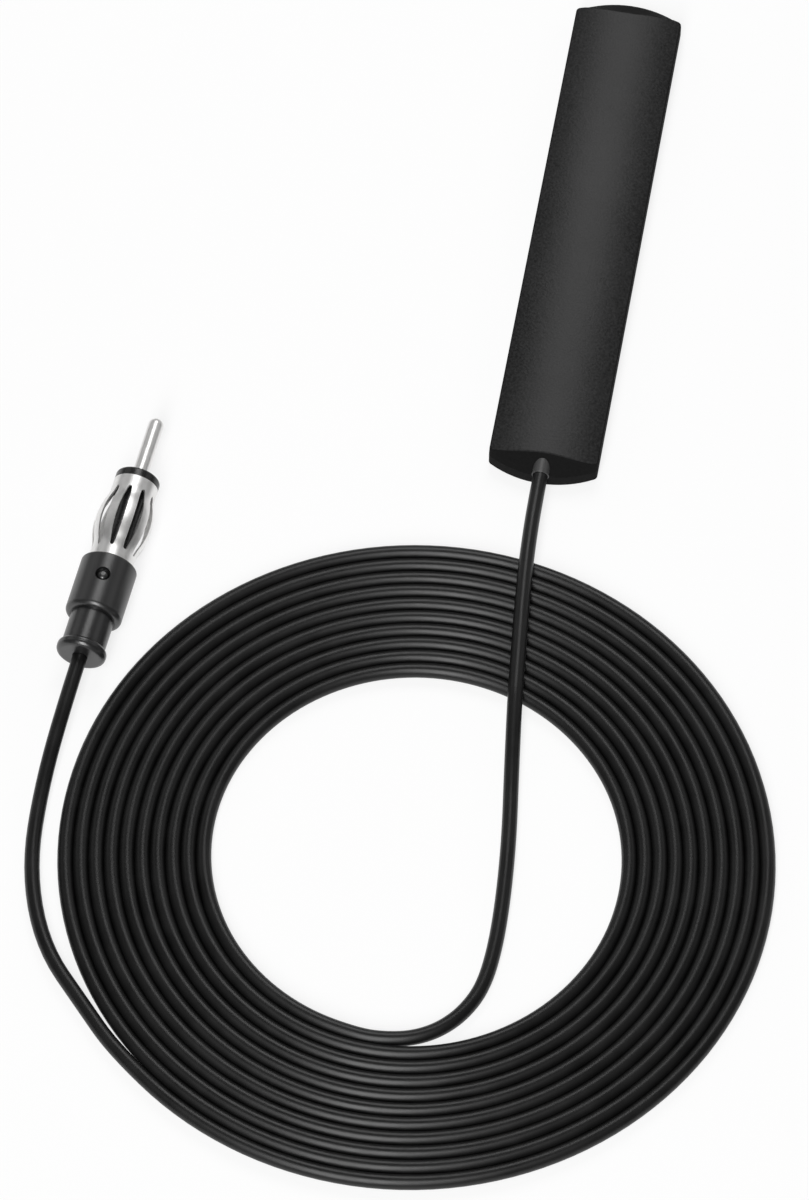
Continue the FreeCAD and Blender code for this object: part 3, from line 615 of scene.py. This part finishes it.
BOARD_GREEN = WovenLaminate(
    "board_green", dark=(0.008, 0.09, 0.03), light=(0.02, 0.15, 0.055), roughness=0.3, thread=0.4 * MM,
)


@dataclass(frozen=True)
class Station:
    """A place round the part, from which a camera or a lamp looks at it.

    The bearing is 0 at -Y and 90 at +X, and the height is the angle above the floor.
    """

    bearing: float
    height: float
    distance: float

    def hold(self, thing: bpy.types.Object, target: Vector) -> None:
        """Put a camera or a lamp here.

        Args:
            thing: The camera or the lamp.
            target: The point that it looks at.
        """
        turn = math.radians(self.bearing)
        rise = math.radians(self.height)
        flat = math.cos(rise)
        back = Vector((math.sin(turn) * flat, -math.cos(turn) * flat, math.sin(rise)))
        thing.location = target + back * self.distance
        thing.rotation_mode = "QUATERNION"
        thing.rotation_quaternion = back.to_track_quat("Z", "Y")
        bpy.context.scene.collection.objects.link(thing)


@dataclass(frozen=True)
class SoftLamp:
    """A soft box that the camera doesn't see, with its width and height, and its power in watts."""

    name: str
    station: Station
    size: Span
    power: float

    def build(self, target: Vector) -> None:
        """Hang the lamp.

        Args:
            target: The point that it looks at.
        """
        data = bpy.data.lights.new(self.name, "AREA")
        data.shape = "RECTANGLE"
        data.size, data.size_y = self.size
        data.energy = self.power
        lamp = bpy.data.objects.new(self.name, data)
        lamp.visible_camera = False
        self.station.hold(lamp, target)
        LOG.info("%s hangs %.2f m away", self.name, self.station.distance)


@dataclass
class Studio:
    """White floor, soft boxes and the camera.

    The floor's lift is the share of pure white in what the camera and mirrors see of it, and the sky is
    the level of the room's own light.
    """

    station: Station = Station(bearing=10.0, height=60.0, distance=1.32)
    aim: Point = (-0.0221, -0.0887, 0.0)
    lens: float = 200.0
    clip: Span = (0.01, 100.0)
    floor_radius: float = 12.0
    floor_rings: int = 8
    floor_sides: int = 64
    floor_drop: float = 0.02 * MM
    floor_white: Rgb = grey(0.9)
    floor_paler: Rgb = grey(0.93)
    floor_cloud: float = 0.4
    floor_roughness: float = 0.9
    floor_lift: float = 0.78
    white: Rgb = grey(1.0)
    sky: float = 0.11
    lamps: tuple[SoftLamp, ...] = (
        SoftLamp("back_box", Station(bearing=183.0, height=50.0, distance=0.65),
                 size=(0.27, 0.34), power=1.3),
        SoftLamp("front_box", Station(bearing=-4.0, height=48.0, distance=1.6),
                 size=(0.45, 1.5), power=25.0),
        SoftLamp("left_box", Station(bearing=235.0, height=28.0, distance=1.3),
                 size=(0.9, 0.6), power=0.85),
        SoftLamp("right_box", Station(bearing=130.0, height=28.0, distance=1.3),
                 size=(0.9, 0.6), power=0.85),
    )

    def build(self) -> None:
        """Set up the camera, the floor and the light."""
        self.camera()
        self.floor()
        self.light()
        bpy.context.scene.view_settings.view_transform = "Standard"

    def camera(self) -> None:
        """Place the camera at its station, looking at the aim."""
        data = bpy.data.cameras.new("camera")
        data.lens = self.lens
        data.clip_start, data.clip_end = self.clip
        camera = bpy.data.objects.new("camera", data)
        self.station.hold(camera, Vector(self.aim))
        bpy.context.scene.camera = camera

    def floor(self) -> None:
        """Lay a round floor: radius times cosine and sine of the angle, on a grid of both.

        The rings' radii grow as squares, and the innermost ring is filled by one face.
        """
        share = np.linspace(0.0, 1.0, self.floor_rings + 1)[1:] ** 2
        around = np.linspace(0.0, 2 * np.pi, self.floor_sides, endpoint=False)
        radius, angle = np.meshgrid(share * self.floor_radius, around, indexing="ij")
        level = np.full_like(radius, -self.floor_drop)
        points = np.stack([radius * np.cos(angle), radius * np.sin(angle), level], axis=-1)
        index = np.arange(radius.size).reshape(radius.shape)
        after = np.roll(index, -1, axis=1)
        quads = np.stack([index[:-1], index[1:], after[1:], after[:-1]], axis=-1).reshape(-1, 4)
        mesh = bpy.data.meshes.new("floor")
        mesh.from_pydata(points.reshape(-1, 3).tolist(), [], quads.tolist() + [index[0].tolist()])
        mesh.materials.append(self.floor_material())
        floor = bpy.data.objects.new("floor", mesh)
        bpy.context.scene.collection.objects.link(floor)

    def floor_material(self) -> bpy.types.Material:
        """Make white paint that the camera and mirrors see nearly pure, with its shadows kept.

        Returns:
            The material.
        """
        graph = NodeGraph("floor_white")
        clouds = graph.noise(self.floor_cloud)
        graph.finish({
            "Base Color": graph.tint(clouds, self.floor_white, self.floor_paler),
            "Roughness": self.floor_roughness,
            "Specular IOR Level": 0.0,
        })
        path = graph.add("ShaderNodeLightPath")
        seen = path.outputs["Is Camera Ray"]
        for mirrored in ("Is Glossy Ray", "Is Transmission Ray"):
            seen = graph.reckon("MAXIMUM", seen, path.outputs[mirrored])
        lift = graph.reckon("MULTIPLY", seen, self.floor_lift)
        glow = graph.feed(graph.add("ShaderNodeEmission"), {"Color": opaque(self.white), "Strength": 1.0})
        paint = graph.shader.outputs["BSDF"]
        both = graph.add("ShaderNodeMixShader")
        graph.feed(both, {"Fac": lift, 1: paint, 2: glow.outputs["Emission"]})
        graph.feed(graph.tree.nodes["Material Output"], {"Surface": both.outputs["Shader"]})
        return graph.material

    def light(self) -> None:
        """Hang the soft boxes in an even grey room."""
        world = bpy.data.worlds.new("room")
        world.use_nodes = True
        room = world.node_tree.nodes["Background"]
        room.inputs["Color"].default_value = opaque(self.white)
        room.inputs["Strength"].default_value = self.sky
        bpy.context.scene.world = world
        for lamp in self.lamps:
            lamp.build(Vector(self.aim))


@dataclass(frozen=True)
class DressedPieces:
    """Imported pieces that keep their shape: each field is named for a piece and holds its finish."""

    def pieces(self, nodes: Nodes) -> list[bpy.types.Object]:
        """Give the pieces' objects."""
        return [nodes[piece] for piece in vars(self)]

    def build(self, nodes: Nodes) -> None:
        """Give the pieces their finishes.

        Args:
            nodes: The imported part's objects by name.
        """
        made: dict[str, bpy.types.Material] = {}
        for piece, finish in vars(self).items():
            if finish.name not in made:
                made[finish.name] = finish.material()
            for slot in nodes[piece].material_slots:
                slot.material = made[finish.name]
            LOG.info("%s is finished in %s", piece, finish.name)


@dataclass(frozen=True)
class Bar(DressedPieces):
    """The bar that sticks to the glass: cover, plate, tape, and the board inside."""

    front_cover: Finish = COVER_BLACK
    back_plate: Finish = PLATE_BLACK
    adhesive_pad: Finish = TAPE_FOAM
    lead_sleeve: Finish = SLEEVE_RUBBER
    circuit_board: Finish = BOARD_GREEN
    antenna_trace: Finish = TRACK_COPPER
    feed_pad: Finish = TRACK_COPPER
    ground_pad: Finish = TRACK_COPPER
    chip_inductor: Finish = CHIP_FERRITE
    chip_capacitor: Finish = CHIP_TAN
    solder_joints: Finish = SOLDER_TIN
    lead_insulation: Finish = MILKY_WHITE
    lead_core: Finish = CORE_TIN
    lead_braid: Finish = BRAID_TIN


@dataclass(frozen=True)
class Plug(DressedPieces):
    """The aerial plug on the lead's end."""

    plug_pin: Finish = PIN_NICKEL
    pin_insulator: Finish = INSULATOR_BLACK
    spring_barrel: Finish = BARREL_NICKEL
    plug_shell: Finish = SHELL_GREY
    plug_boot: Finish = BOOT_GREY
    braid_ferrule: Finish = FERRULE_BRASS
    plug_insulation: Finish = MILKY_WHITE
    plug_core: Finish = CORE_TIN


@dataclass
class Lead:
    """The coaxial lead: from the bar over the coil, round its flat turns and out to the plug.

    The points of its two runs are listed, and the coil between them is worked out.
    """

    plug: Plug
    jacket: Finish = JACKET_BLACK
    slot: str = "cable_jacket"
    stands_for: tuple[str, ...] = ("cord_lead", "cord_coil", "cord_tail")
    length: float = 3.73
    diameter: float = 3.0 * MM
    exit_point: Point = (0.0, -0.0582, 0.0041)
    far_end: FarEnd = FarEnd.PLUG
    stiffness: Stiffness = Stiffness.MEDIUM
    lay: Lay = Lay.COILED
    run_in: Route = (
        (0.0, -0.0486, 0.0041), (0.0, -0.062, 0.0041), (0.0002, -0.072, 0.00455),
        (0.0009, -0.084, 0.00455), (0.0029, -0.104, 0.00455), (0.0036, -0.1105, 0.00455),
        (0.0053, -0.124, 0.0015), (0.0072, -0.138, 0.0015), (0.0083, -0.151, 0.0015),
        (0.0086, -0.162, 0.0015), (0.0078, -0.1709, 0.0015), (0.0052, -0.1769, 0.0015),
        (0.0014, -0.1813, 0.0015), (-0.0033, -0.1841, 0.0015), (-0.00856, -0.18532, 0.0015),
    )
    run_out: Route = (
        (-0.06698, -0.18815, 0.0015), (-0.0771, -0.1772, 0.0015), (-0.0831, -0.1611, 0.0015),
        (-0.0842, -0.143, 0.0019), (-0.08274, -0.12457, 0.0057), (-0.08118, -0.10563, 0.0057),
    )
    coil_middle: Point = (-0.0105, -0.1455, 0.0015)
    coil_radius: float = 39.8 * MM
    turn_pitch: float = 2.98 * MM
    whole_turns: int = 10
    extra_angle: float = 39.0
    start_angle: float = 265.0
    points_a_turn: int = 24
    steps_a_span: int = 6
    section_steps: int = 6

    def coil(self) -> np.ndarray:
        """Work out the coil: the radius grows by one pitch a turn while the angle runs clockwise.

        The middle of a spline's span takes 3/4 from its own point and 1/8 from each neighbour, so it cuts
        inside a ring of points by the share 3/4 + cos(step) / 4, and the radius is divided by that.

        Returns:
            The coil's points.
        """
        turns = self.whole_turns + self.extra_angle / FULL_TURN
        turn = np.linspace(0.0, turns, round(turns * self.points_a_turn) + 1)
        step = math.radians(FULL_TURN / self.points_a_turn)
        cut = SPLINE_MIDDLE + (1.0 - SPLINE_MIDDLE) * math.cos(step)
        radius = (self.coil_radius + self.turn_pitch * turn) / cut
        angle = np.radians(self.start_angle - FULL_TURN * turn)
        flat = np.stack([np.cos(angle) * radius, np.sin(angle) * radius, np.zeros_like(turn)], axis=1)
        return flat + np.array(self.coil_middle)

    def curve(self) -> bpy.types.Curve:
        """Draw the lead as one smooth spline with a round section.

        Returns:
            The curve.
        """
        points = np.concatenate([np.array(self.run_in), self.coil(), np.array(self.run_out)])
        weighted = np.column_stack([points, np.ones(len(points))])
        curve = bpy.data.curves.new("lead", "CURVE")
        curve.dimensions = "3D"
        spline = curve.splines.new("NURBS")
        spline.points.add(len(points) - 1)
        spline.points.foreach_set("co", weighted.ravel())
        spline.order_u = SPLINE_ORDER
        spline.use_endpoint_u = True
        spline.resolution_u = self.steps_a_span
        curve.bevel_depth = self.diameter / 2
        curve.bevel_resolution = self.section_steps
        curve.use_fill_caps = True
        curve.materials.append(self.jacket.material())
        LOG.info("lead has %d points", len(points))
        return curve

    def build(self, nodes: Nodes) -> None:
        """Lay the lead from the bar to the plug.

        Args:
            nodes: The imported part's objects by name.
        """
        lead = bpy.data.objects.new("lead", self.curve())
        bpy.context.scene.collection.objects.link(lead)
        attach(lead, BODY)
        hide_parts(*self.stands_for)
        self.plug.pieces(nodes)


def main() -> None:
    """Build the picture."""
    logging.basicConfig(level=logging.INFO, format="%(name)s: %(message)s")
    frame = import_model()
    nodes = frame["nodes"]
    plug = Plug()
    Studio().build()
    Lead(plug).build(nodes)
    Bar().build(nodes)
    plug.build(nodes)


if __name__ == "__main__":
    main()
